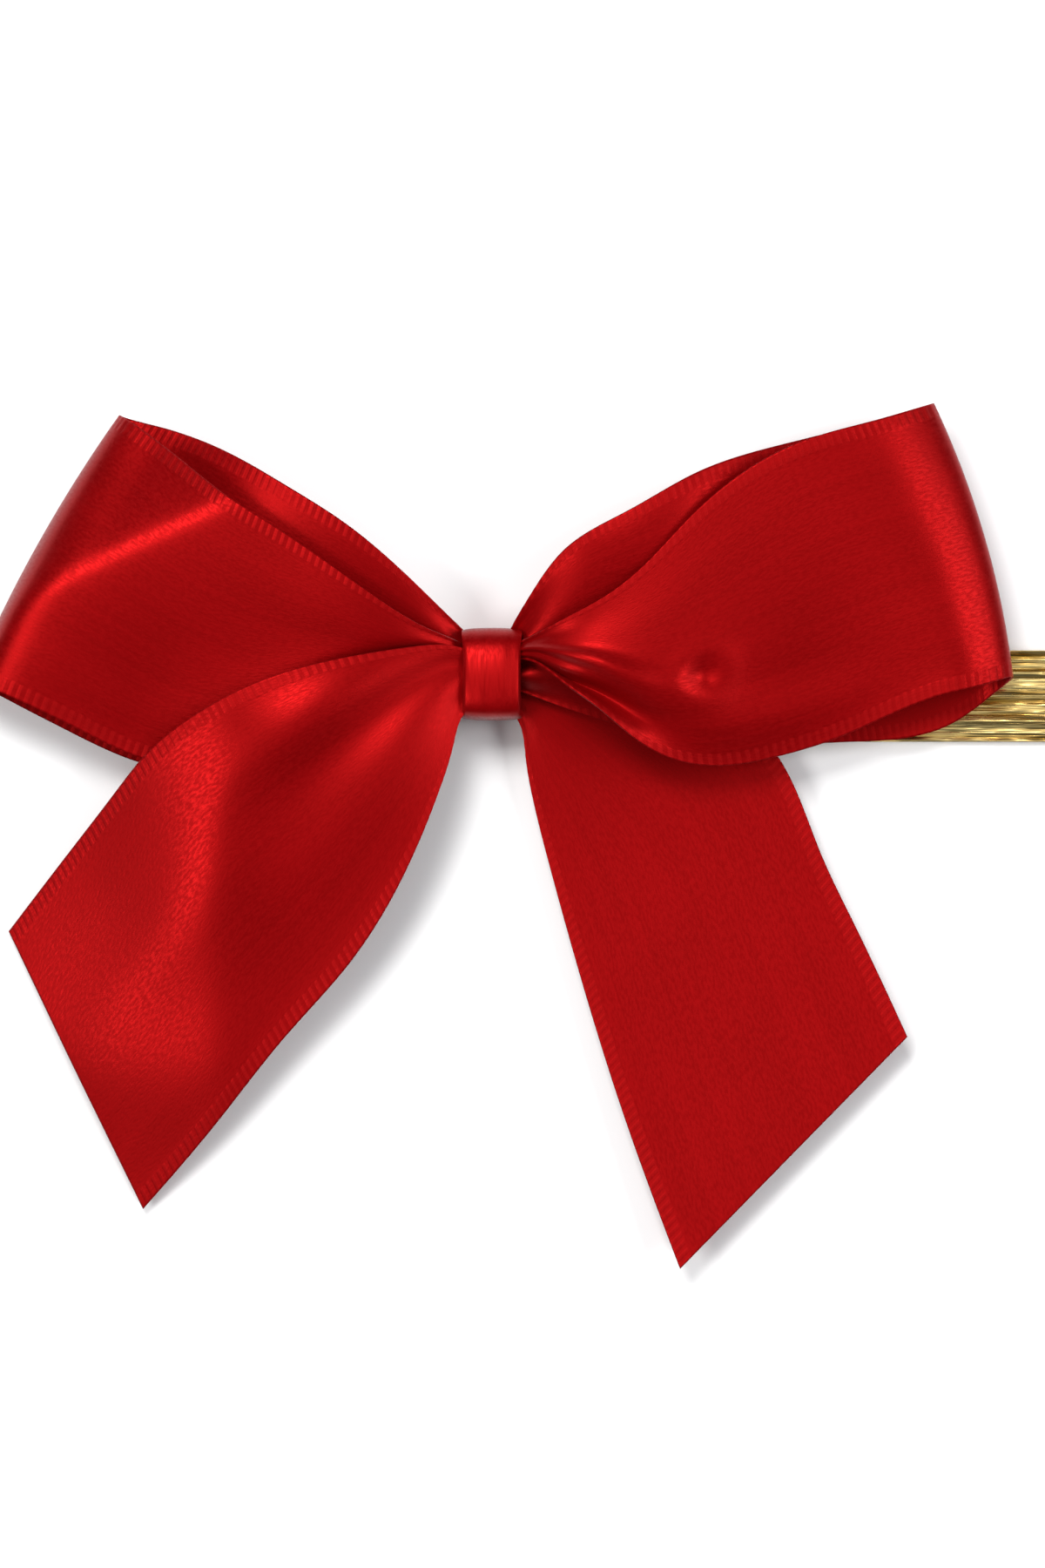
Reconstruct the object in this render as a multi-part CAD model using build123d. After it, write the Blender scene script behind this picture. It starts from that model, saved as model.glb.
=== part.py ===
"""Pre-made satin gift bow with a foil twist tie, lying on its back.

Millimetres. +Z comes out of the bow's face, +X is to the right, the tails point to -Y.
The origin is the centre of the flat back face of the centre band, and z = 0 is the surface it lies on.
"""
from build123d import *
import os
from math import cos, radians, sin

os.makedirs("parts", exist_ok=True)

# ---- driving dimensions -------------------------------------------------------------------
RIBBON_THICK = 0.3

BAND_LENGTH = 5.2          # along X
BAND_WIDTH = 8.0           # along Y
BAND_DEPTH = 7.5           # along Z
BAND_CORNER = 2.0
BAND_WALL = 0.6

WAIST_LENGTH = 6.0
WAIST_WIDTH = 4.4
WAIST_BOTTOM = 2.1
WAIST_TOP = 6.2
WAIST_CORNER = 1.5
THREAD_DIA = 0.25
THREAD_TURNS = 3
THREAD_PITCH = 0.5

LIMB_START = 3.5           # the loops and the left tail begin this far from the middle
LEFT_LOOP_ANGLE = 151.4    # direction square to the left loop's fold, degrees from +X
LEFT_LOOP_REACH = 40.0
RIGHT_LOOP_ANGLE = 16.5
RIGHT_LOOP_REACH = 43.8
LEFT_TAIL_ANGLE = 225.0
LEFT_TAIL_HINGE = 27.0     # along the left tail, where it leaves the loop that it lies on
RIGHT_TAIL_HINGE = 9.2     # below the middle, just outside the right loop's lower edge
HINGE_GAP = 0.3            # on each side of a flexing line
RIGHT_TAIL_ROOT_Z = 2.2    # underside of the right tail where it passes over the tie

TIE_WIDTH = 4.0
FILM_THICK = 0.12
WIRE_SLOT = 0.3            # the channel that the front film leaves for the wire
WIRE_DIA = 0.28
TIE_UPPER_Z = 1.2          # underside of the run that goes straight through the band
TIE_LOWER_Z = 0.6          # underside of the run that folds back beneath it
TIE_FOLD_X = -5.2          # where the tie folds back on itself, left of the band
TIE_RUN_END = 9.0
LEG_HINGE_X = 9.6
LEG_START = 10.1
UPPER_LEG_Y = 0.1
LOWER_LEG_Y = -4.05
LOWER_SHIFT_FROM = 2.4     # the lower run moves over between these two distances
LOWER_SHIFT_TO = 8.0
LOWER_SHIFT_RADIUS = 2.0
UPPER_LEG_END = 58.0
LOWER_LEG_END = 55.0

GLUE_LENGTH = 1.4
GLUE_WIDTH = 1.1
GLUE_X = 1.9
GLUE_Y = 1.1

FAR = 80.0                 # longer than anything it has to cut through


# ---- helpers ------------------------------------------------------------------------------
def save(shape, node, colour):
    """Name a shape, colour it and write it as parts/NODE.step."""
    shape.label = node
    shape.color = Color(*colour)
    export_step(shape, f"parts/{node}.step")


def prism(edges):
    """A tall upright prism whose plan is the closed outline made of the given edges."""
    return extrude(make_face(edges), amount=FAR / 2, both=True)


def strip(angle, route, corner_radii, plan):
    """A ribbon strip: a side route thickened, carried across, and trimmed to a plan outline.

    route is a list of (distance along the strip, height), and angle its direction from +X.
    """
    along = Vector(cos(radians(angle)), sin(radians(angle)), 0)
    side = Plane(origin=(0, 0, 0), x_dir=along, z_dir=along.cross(Vector(0, 0, 1)))
    line = FilletPolyline(*route, radius=corner_radii)
    section = make_face(offset(line, amount=RIBBON_THICK / 2, side=Side.BOTH))
    sheet = extrude(side * section, amount=FAR, both=True)
    return (sheet & prism(plan)).solids()


def one(solids):
    """The only solid of a list, or an error when the cut left more or fewer."""
    found = list(solids)
    if len(found) != 1:
        raise ValueError(f"expected one solid, got {len(found)}")
    return found[0]


def outline(*runs):
    """Closed outline from runs of points: two points make a line, more make a spline."""
    edges = []
    for run in runs:
        edges.append(Line(*run) if len(run) == 2 else Spline(*run))
    for first, second in zip(runs, runs[1:] + runs[:1]):
        if first[-1] != second[0]:
            edges.append(Line(first[-1], second[0]))
    return edges


def rounded_bar(width, bottom, top, corner, length, x=0.0):
    """A bar along X with a rounded section, centred on x and on y = 0."""
    plane = Plane(origin=(x, 0, (bottom + top) / 2), x_dir=(0, 1, 0), z_dir=(1, 0, 0))
    return extrude(plane * RectangleRounded(width, top - bottom, corner), amount=length / 2, both=True)


def block(x0, x1, y0, y1, z0, z1):
    """A plain box between two corners."""
    return Pos((x0 + x1) / 2, (y0 + y1) / 2, (z0 + z1) / 2) * Box(x1 - x0, y1 - y0, z1 - z0)


def left_tail_cut(start, end):
    """An upright slab across the left tail, between two distances along it."""
    return Rot(0, 0, LEFT_TAIL_ANGLE) * block(start, end, -FAR, FAR, -FAR, FAR)


def tie_run(route, z):
    """A run of the tie along a flat route of points: front film, back film and wire, one on another.

    The back film is flat. The front film arches over the wire in a ridge along its middle.
    """
    half = TIE_WIDTH / 2
    core = WIRE_SLOT / 2
    crest = core + FILM_THICK
    low = FILM_THICK
    top = 2 * FILM_THICK
    middle = FILM_THICK + core
    film = make_face([
        Polyline((-core, middle), (-core, low), (-half, low), (-half, top), (-crest, top), (-crest, middle)),
        ThreePointArc((-crest, middle), (0, middle + crest), (crest, middle)),
        Polyline((crest, middle), (crest, top), (half, top), (half, low), (core, low), (core, middle)),
        ThreePointArc((core, middle), (0, middle + core), (-core, middle)),
    ])
    points = [(x, y, z) for x, y in route]
    path = Line(*points) if len(points) == 2 else FilletPolyline(*points, radius=LOWER_SHIFT_RADIUS)
    start = Plane(origin=points[0], x_dir=(0, 1, 0), z_dir=(1, 0, 0))
    front = sweep(start * film, path=path)
    back = sweep(start * (Pos(0, low / 2) * Rectangle(TIE_WIDTH, low)), path=path)
    wire = sweep(start * (Pos(0, middle) * Circle(WIRE_DIA / 2)), path=path)
    return front, back, wire


# ---- colours ------------------------------------------------------------------------------
RED = (0.68, 0.03, 0.04)
GOLD = (0.80, 0.62, 0.26)
STEEL = (0.60, 0.60, 0.62)
GLUE = (0.85, 0.82, 0.70)

# ---- the knot -----------------------------------------------------------------------------
band_outer = rounded_bar(BAND_WIDTH, 0, BAND_DEPTH, BAND_CORNER, BAND_LENGTH)
band_inner = rounded_bar(
    BAND_WIDTH - 2 * BAND_WALL, BAND_WALL, BAND_DEPTH - BAND_WALL,
    BAND_CORNER - BAND_WALL, BAND_LENGTH + 1,
)
save(band_outer - band_inner, "knot_band", RED)

waist = rounded_bar(WAIST_WIDTH, WAIST_BOTTOM, WAIST_TOP, WAIST_CORNER, WAIST_LENGTH)
save(waist, "ribbon_waist", RED)

thread_turns = []
for turn in range(THREAD_TURNS):
    turn_x = (turn - (THREAD_TURNS - 1) / 2) * THREAD_PITCH
    ring = rounded_bar(
        WAIST_WIDTH + 2 * THREAD_DIA, WAIST_BOTTOM - THREAD_DIA, WAIST_TOP + THREAD_DIA,
        WAIST_CORNER + THREAD_DIA, THREAD_DIA, turn_x,
    )
    thread_turns.append((ring - waist).solid())
save(Compound(children=thread_turns), "gather_thread", RED)

glue_bottom = TIE_UPPER_Z + 2 * FILM_THICK
glue_dabs = [
    block(GLUE_X - GLUE_LENGTH / 2, GLUE_X + GLUE_LENGTH / 2,
          side * GLUE_Y - GLUE_WIDTH / 2, side * GLUE_Y + GLUE_WIDTH / 2,
          glue_bottom, WAIST_BOTTOM)
    for side in (-1, 1)
]
save(Compound(children=glue_dabs), "glue_dabs", GLUE)

# ---- the twist tie ------------------------------------------------------------------------
# It is folded in half left of the band, and both halves pass through the band to the right.
tie_runs = {
    "tie_upper_run": ([(TIE_FOLD_X, UPPER_LEG_Y), (TIE_RUN_END, UPPER_LEG_Y)], TIE_UPPER_Z),
    "tie_lower_run": ([
        (TIE_FOLD_X, UPPER_LEG_Y), (LOWER_SHIFT_FROM, UPPER_LEG_Y),
        (LOWER_SHIFT_TO, LOWER_LEG_Y), (TIE_RUN_END, LOWER_LEG_Y),
    ], TIE_LOWER_Z),
    "upper_leg": ([(LEG_START, UPPER_LEG_Y), (UPPER_LEG_END, UPPER_LEG_Y)], TIE_UPPER_Z),
    "lower_leg": ([(LEG_START, LOWER_LEG_Y), (LOWER_LEG_END, LOWER_LEG_Y)], TIE_LOWER_Z),
}
for run_name, (run_route, run_z) in tie_runs.items():
    front_film, back_film, core_wire = tie_run(run_route, run_z)
    save(one(front_film.solids()), f"{run_name}_front_film", GOLD)
    save(one(back_film.solids()), f"{run_name}_back_film", GOLD)
    save(one(core_wire.solids()), f"{run_name}_wire", STEEL)

# the turn at the fold: a half tube with its axis along Y
turn_radius = (TIE_UPPER_Z - TIE_LOWER_Z) / 2 + FILM_THICK
turn_tube = Rot(90, 0, 0) * Cylinder(turn_radius, TIE_WIDTH)
turn_tube -= Rot(90, 0, 0) * Cylinder(turn_radius - 2 * FILM_THICK, TIE_WIDTH + 1)
turn_tube &= Pos(-turn_radius, 0, 0) * Box(2 * turn_radius, TIE_WIDTH + 2, 4 * turn_radius)
save(Pos(TIE_FOLD_X, UPPER_LEG_Y, TIE_LOWER_Z + turn_radius) * turn_tube, "tie_fold", GOLD)

# ---- the loops ----------------------------------------------------------------------------
# Each plan runs out along the upper selvedge, past the fold, and back along the lower selvedge.
left_loop_plan = outline(
    [(-LIMB_START, 4.6), (-12.5, 12.9), (-23.9, 19.7), (-37.0, 24.5)],
    [(-37.0, 24.5), (-50.0, 0.8)],
    [(-50.0, 0.8), (-30.0, -7.5), (-17.0, -7.6), (-LIMB_START, -2.6)],
)
left_loop = one(strip(
    LEFT_LOOP_ANGLE,
    [(0, 3.3), (16, 1.2), (LEFT_LOOP_REACH, 1.0), (LEFT_LOOP_REACH, 8.2), (20, 9.2), (0, 5.2)],
    [20, 3.3, 3.4, 20],
    left_loop_plan,
))
save(left_loop, "left_loop_ribbon", RED)

right_loop_plan = outline(
    [(LIMB_START, 7.2), (11.7, 14.0), (25.4, 19.7), (46.0, 26.4)],
    [(46.0, 26.4), (52.0, 0.6)],
    [(52.0, 0.6), (29.0, -6.4), (16.5, -8.0), (LIMB_START, -2.4)],
)
right_loop = one(strip(
    RIGHT_LOOP_ANGLE,
    [(0, 3.4), (16, 3.0), (RIGHT_LOOP_REACH, 2.6), (RIGHT_LOOP_REACH, 9.6), (22, 10.6), (0, 5.4)],
    [20, 3.2, 3.3, 20],
    right_loop_plan,
))
save(right_loop, "right_loop_ribbon", RED)

# ---- the tails ----------------------------------------------------------------------------
left_tail_plan = outline(
    [(-LIMB_START, 2.4), (-13.0, 1.3), (-25.0, -3.6), (-29.6, -7.6)],
    [(-29.6, -7.6), (-42.0, -22.3)],
    [(-42.0, -22.3), (-30.3, -46.4)],
    [(-30.3, -46.4), (-24.2, -39.3), (-12.3, -25.0), (-7.6, -17.4), (-LIMB_START, -6.2)],
)
left_tail = one(strip(
    LEFT_TAIL_ANGLE,
    [(0, 6.7), (12, 9.6), (30, 10.6), (58, 3.0)],
    [20, 20],
    left_tail_plan,
))
left_root = left_tail & left_tail_cut(-FAR, LEFT_TAIL_HINGE - HINGE_GAP)
save(one(left_root.solids()), "left_tail_root", RED)
left_end = left_tail & left_tail_cut(LEFT_TAIL_HINGE + HINGE_GAP, FAR)
save(one(left_end.solids()), "left_tail_ribbon", RED)

root_edge = -(RIGHT_TAIL_HINGE - HINGE_GAP)
right_root_plan = outline(
    [(WAIST_LENGTH / 2, -1.2), (14.0, -1.8), (21.3, -4.0), (25.5, root_edge)],
    [(3.1, root_edge), (WAIST_LENGTH / 2, -4.4)],
)
right_root_middle = RIGHT_TAIL_ROOT_Z + RIBBON_THICK / 2
right_root = prism(right_root_plan) & block(
    -FAR, FAR, -FAR, FAR, RIGHT_TAIL_ROOT_Z, RIGHT_TAIL_ROOT_Z + RIBBON_THICK)
save(one(right_root.solids()), "right_tail_root", RED)

tail_edge = -(RIGHT_TAIL_HINGE + HINGE_GAP)
right_tail_plan = outline(
    [(25.8, tail_edge), (28.5, -15.3), (36.0, -31.4)],
    [(36.0, -31.4), (16.3, -51.5)],
    [(16.3, -51.5), (11.9, -39.6), (7.9, -27.0), (5.1, -17.0), (3.3, tail_edge)],
)
right_tail = one(strip(
    270.0,
    [(RIGHT_TAIL_HINGE, right_root_middle), (30, 3.6), (54, 2.2)],
    [60],
    right_tail_plan,
))
save(right_tail, "right_tail_ribbon", RED)
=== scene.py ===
"""A pre-made satin gift bow with a gold foil twist tie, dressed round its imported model.

Lengths inside the classes are millimetres in the bow's own frame: +X right, +Z out of the bow's
face, the tails towards -Y, and the origin at the middle of the band's flat back.
"""
from __future__ import annotations

import logging
from dataclasses import dataclass, field
from enum import Enum

import bpy
import numpy as np
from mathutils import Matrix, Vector


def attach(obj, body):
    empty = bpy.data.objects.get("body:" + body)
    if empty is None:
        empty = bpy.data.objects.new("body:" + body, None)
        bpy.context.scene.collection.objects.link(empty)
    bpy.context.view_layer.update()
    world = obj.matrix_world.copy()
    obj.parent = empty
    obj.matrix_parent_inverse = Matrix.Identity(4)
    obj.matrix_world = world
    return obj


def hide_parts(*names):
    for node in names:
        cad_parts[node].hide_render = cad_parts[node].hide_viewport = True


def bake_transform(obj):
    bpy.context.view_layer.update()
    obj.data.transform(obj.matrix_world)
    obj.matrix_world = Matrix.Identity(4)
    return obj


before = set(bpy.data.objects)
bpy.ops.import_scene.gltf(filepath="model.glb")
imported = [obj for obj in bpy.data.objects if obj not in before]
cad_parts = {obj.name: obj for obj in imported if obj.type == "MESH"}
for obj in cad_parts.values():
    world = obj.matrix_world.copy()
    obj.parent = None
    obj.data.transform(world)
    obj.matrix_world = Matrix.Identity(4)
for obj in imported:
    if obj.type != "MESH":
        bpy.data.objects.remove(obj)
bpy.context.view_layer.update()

MM = 0.001
RIBBON_WIDTH = 25.0
RIBBON_THICK = 0.22
BAND_HALF_LENGTH = 2.6
SELVEDGE_WIDTH = 1.25
SELVEDGE_PITCH = 0.75
SELVEDGE_RELIEF = 0.009
SELVEDGE_FADE = 0.25            # how softly the ribs end towards the middle
FOLD_SOFTNESS = 0.09            # share of a loop's route over which its front turns into its back
BULGE_START = 0.55              # where along a loop its fold's bow begins to show
ROUTE_SAMPLES = 2001
CRUSH_WAVES = ((9.0, 0.9, 0.020), (4.5, 1.6, 0.016), (2.2, 2.4, 0.010))     # millimetres along, across, deep
MAP_NAME = "Cloth"
SENSOR_HEIGHT = 36.0

Point2 = tuple[float, float]
Point3 = tuple[float, float, float]
Colour = tuple[float, float, float]

logging.basicConfig(level=logging.INFO, format="%(message)s")
LOG = logging.getLogger("gift_bow")


# ---- curves and surfaces ------------------------------------------------------------------
def spline(knots: np.ndarray, values: np.ndarray, at: np.ndarray) -> np.ndarray:
    """Natural cubic spline: cubic pieces whose slope and bend both match where they meet.

    The bends at the knots solve one small linear system, and are nought at both ends.

    Args:
        knots: rising parameters, one for each value.
        values: one row for each knot.
        at: parameters wanted, in any shape.

    Returns:
        The curve at those parameters, shaped like at, then like one value.
    """
    gaps = np.diff(knots)
    count = len(knots)
    system = np.eye(count)
    inner = np.arange(1, count - 1)
    system[inner, inner - 1] = gaps[:-1]
    system[inner, inner] = 2 * (gaps[:-1] + gaps[1:])
    system[inner, inner + 1] = gaps[1:]
    wide = gaps if values.ndim == 1 else gaps[:, None]
    slopes = np.diff(values, axis=0) / wide
    change = np.zeros_like(values)
    change[1:-1] = 6 * np.diff(slopes, axis=0)
    bends = np.linalg.solve(system, change)
    piece = np.clip(np.searchsorted(knots, at, side="right") - 1, 0, count - 2)
    span, before, after = gaps[piece], at - knots[piece], knots[piece + 1] - at
    if values.ndim > 1:
        span, before, after = span[..., None], before[..., None], after[..., None]
    first, second = bends[piece], bends[piece + 1]
    return (
        (first * after**3 + second * before**3) / (6 * span)
        + (values[piece] / span - first * span / 6) * after
        + (values[piece + 1] / span - second * span / 6) * before
    )


def along(points: list[tuple[float, ...]], at: np.ndarray) -> np.ndarray:
    """Smooth curve through points, read at fractions of its chord length.

    Args:
        points: the points that the curve passes through.
        at: fractions from 0, the first point, to 1, the last.

    Returns:
        Positions, shaped like at, then like one point.
    """
    route = np.asarray(points, float)
    steps = np.linalg.norm(np.diff(route, axis=0), axis=1)
    knots = np.concatenate([[0.0], np.cumsum(steps)]) / steps.sum()
    return spline(knots, route, at)


def ease(points: list[Point2], at: np.ndarray) -> np.ndarray:
    """Smooth height as a function of one parameter, through (parameter, height) points."""
    table = np.asarray(points, float)
    return spline(table[:, 0], table[:, 1], np.clip(at, table[0, 0], table[-1, 0]))


def smoothstep(low: float, high: float, at: np.ndarray) -> np.ndarray:
    """Zero below low, one above high, and an S between them."""
    u = np.clip((at - low) / (high - low), 0.0, 1.0)
    return u * u * (3 - 2 * u)


def across(count: int, gather: float = 0.6) -> np.ndarray:
    """Fractions from 0 to 1 that crowd towards both ends: part even steps, part half a cosine wave."""
    t = np.linspace(0.0, 1.0, count)
    return (1 - gather) * t + gather * (0.5 - 0.5 * np.cos(np.pi * t))


def grid_faces(rows: int, columns: int, wrap_rows: bool, wrap_columns: bool) -> np.ndarray:
    """Corner numbers of the quads of a grid, which may close on itself either way.

    Args:
        rows: how many rows of corners it has.
        columns: how many columns of corners it has.
        wrap_rows: whether the last row joins the first.
        wrap_columns: whether the last column joins the first.

    Returns:
        One row of four corner numbers for each quad.
    """
    last_row = rows if wrap_rows else rows - 1
    last_column = columns if wrap_columns else columns - 1
    i, j = np.meshgrid(np.arange(last_row), np.arange(last_column), indexing="ij")
    i2, j2 = (i + 1) % rows, (j + 1) % columns
    corners = [i * columns + j, i2 * columns + j, i2 * columns + j2, i * columns + j2]
    return np.stack(corners, axis=-1).reshape(-1, 4)


def make_surface(
    name: str,
    places: np.ndarray,
    uv: np.ndarray,
    wrap_rows: bool = False,
    wrap_columns: bool = False,
    flip: bool = False,
) -> bpy.types.Object:
    """Put a grid of places into a new mesh object.

    Args:
        name: the piece's name.
        places: rows by columns by 3, in millimetres.
        uv: rows by columns by 2, millimetres along and across the strip.
        wrap_rows: whether the last row joins the first.
        wrap_columns: whether the last column joins the first.
        flip: whether the faces point the other way.

    Returns:
        The new object, in the scene.
    """
    rows, columns = places.shape[:2]
    faces = grid_faces(rows, columns, wrap_rows, wrap_columns)
    if flip:
        faces = faces[:, ::-1]
    mesh = bpy.data.meshes.new(name)
    mesh.vertices.add(rows * columns)
    mesh.vertices.foreach_set("co", (places * MM).astype(np.float32).ravel())
    mesh.loops.add(faces.size)
    mesh.loops.foreach_set("vertex_index", faces.astype(np.int32).ravel())
    mesh.polygons.add(len(faces))
    mesh.polygons.foreach_set("loop_start", np.arange(0, faces.size, 4, dtype=np.int32))
    mesh.update(calc_edges=True)
    mesh.polygons.foreach_set("use_smooth", np.ones(len(faces), dtype=bool))
    layer = mesh.uv_layers.new(name=MAP_NAME)
    layer.data.foreach_set("uv", uv.reshape(-1, 2)[faces.ravel()].astype(np.float32).ravel())
    mesh.validate()
    piece = bpy.data.objects.new(name, mesh)
    bpy.context.scene.collection.objects.link(piece)
    return piece


def thicken(piece: bpy.types.Object, thickness: float) -> None:
    """Give an open sheet its thickness, half to each side.

    Args:
        piece: the sheet.
        thickness: millimetres.
    """
    solid = piece.modifiers.new("thickness", "SOLIDIFY")
    solid.thickness = thickness * MM
    solid.offset = 0.0
    solid.use_rim = True


def arc_length(places: np.ndarray) -> np.ndarray:
    """Distance along the rows of a grid of places, from its first row.

    Args:
        places: rows by columns by 3, in millimetres.

    Returns:
        One distance for each row, along the middle column.
    """
    middle = places[:, places.shape[1] // 2]
    steps = np.linalg.norm(np.diff(middle, axis=0), axis=1)
    return np.concatenate([[0.0], np.cumsum(steps)])


# ---- finishes -----------------------------------------------------------------------------
class Slot(Enum):
    """The material slots of the record."""

    SATIN = "satin_ribbon"
    THREAD = "thread"
    GLUE = "glue"
    FOIL = "gold_film"
    WIRE = "tie_wire"


class Nodes:
    """A short hand for building a material's node tree."""

    def __init__(self, name: str) -> None:
        """Start a material with one Principled shader, joined to the output.

        Args:
            name: the material's name.
        """
        self.material = bpy.data.materials.new(name)
        self.material.use_nodes = True
        self.tree = self.material.node_tree
        self.tree.nodes.clear()
        output = self.tree.nodes.new("ShaderNodeOutputMaterial")
        self.shader = self.tree.nodes.new("ShaderNodeBsdfPrincipled")
        self.tree.links.new(self.shader.outputs[0], output.inputs[0])

    def add(self, kind: str, **settings: object) -> bpy.types.Node:
        """Add a node of a kind, with its properties set.

        Args:
            kind: Blender's name for the node.
            settings: its properties.

        Returns:
            The node.
        """
        node = self.tree.nodes.new(kind)
        for key, value in settings.items():
            setattr(node, key, value)
        return node

    def link(self, source: bpy.types.NodeSocket, target: bpy.types.NodeSocket) -> None:
        """Join two sockets."""
        self.tree.links.new(source, target)

    def feed(self, value: object, target: bpy.types.NodeSocket) -> None:
        """Link a socket, or set a plain value.

        Args:
            value: a socket or a value.
            target: the socket that takes it.
        """
        if isinstance(value, bpy.types.NodeSocket):
            self.link(value, target)
        else:
            target.default_value = value

    def coat(self, values: dict[str, object]) -> bpy.types.Material:
        """Feed the shader's inputs.

        Args:
            values: a socket or a plain value for each input's name.

        Returns:
            The finished material.
        """
        for name, value in values.items():
            self.feed(value, self.shader.inputs[name])
        return self.material

    def math(self, operation: str, a: object, b: object = 0.0) -> bpy.types.NodeSocket:
        """One arithmetic step on sockets or numbers.

        Args:
            operation: Blender's name for the step.
            a: the first socket or number.
            b: the second one, where the step has one.

        Returns:
            The result's socket.
        """
        node = self.add("ShaderNodeMath", operation=operation)
        self.feed(a, node.inputs[0])
        self.feed(b, node.inputs[1])
        return node.outputs[0]

    def between(
        self, value: object, low: float, high: float, to_low: float, to_high: float
    ) -> bpy.types.NodeSocket:
        """Carry a value from one range to another, held at both ends, with an S between.

        Args:
            value: the socket or number to carry.
            low: where the first range starts.
            high: where the first range ends.
            to_low: where the second range starts.
            to_high: where the second range ends.

        Returns:
            The result's socket.
        """
        node = self.add("ShaderNodeMapRange", interpolation_type="SMOOTHSTEP")
        self.feed(value, node.inputs["Value"])
        ends = {"From Min": low, "From Max": high, "To Min": to_low, "To Max": to_high}
        for name, end in ends.items():
            node.inputs[name].default_value = end
        return node.outputs["Result"]

    def mix(self, factor: object, a: object, b: object) -> bpy.types.NodeSocket:
        """Blend two colours.

        Args:
            factor: the share of the second, as a socket or a number.
            a: the first colour or socket.
            b: the second colour or socket.

        Returns:
            The blend's socket.
        """
        node = self.add("ShaderNodeMix", data_type="RGBA")
        self.feed(factor, node.inputs[0])
        self.feed(a, node.inputs[6])
        self.feed(b, node.inputs[7])
        return node.outputs[2]

    def scaled(self, vector: bpy.types.NodeSocket, scale: Point3) -> bpy.types.NodeSocket:
        """A coordinate stretched by three factors.

        Args:
            vector: the coordinate.
            scale: the three factors.

        Returns:
            The stretched coordinate's socket.
        """
        node = self.add("ShaderNodeMapping")
        self.link(vector, node.inputs["Vector"])
        node.inputs["Scale"].default_value = scale
        return node.outputs["Vector"]

    def noise(self, vector: bpy.types.NodeSocket, scale: float, detail: float = 2.0) -> bpy.types.NodeSocket:
        """Smooth random values at a number of grains per unit.

        Args:
            vector: the coordinate they are read at.
            scale: grains for each unit.
            detail: how many finer layers are added.

        Returns:
            The values' socket.
        """
        node = self.add("ShaderNodeTexNoise")
        self.link(vector, node.inputs["Vector"])
        node.inputs["Scale"].default_value = scale
        node.inputs["Detail"].default_value = detail
        return node.outputs["Fac"]

    def bump(self, height: bpy.types.NodeSocket, depth: float, below: object = None) -> bpy.types.NodeSocket:
        """Tilt the surface by a height, over an earlier bump.

        Args:
            height: the height, from 0 to 1.
            depth: millimetres at a height of 1.
            below: the earlier bump, if there is one.

        Returns:
            The normal's socket.
        """
        node = self.add("ShaderNodeBump")
        node.inputs["Strength"].default_value = 1.0
        node.inputs["Distance"].default_value = depth * MM
        self.link(height, node.inputs["Height"])
        if below is not None:
            self.link(below, node.inputs["Normal"])
        return node.outputs["Normal"]


def rgba(colour: Colour) -> tuple[float, float, float, float]:
    """A colour with full cover."""
    return (*colour, 1.0)


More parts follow.
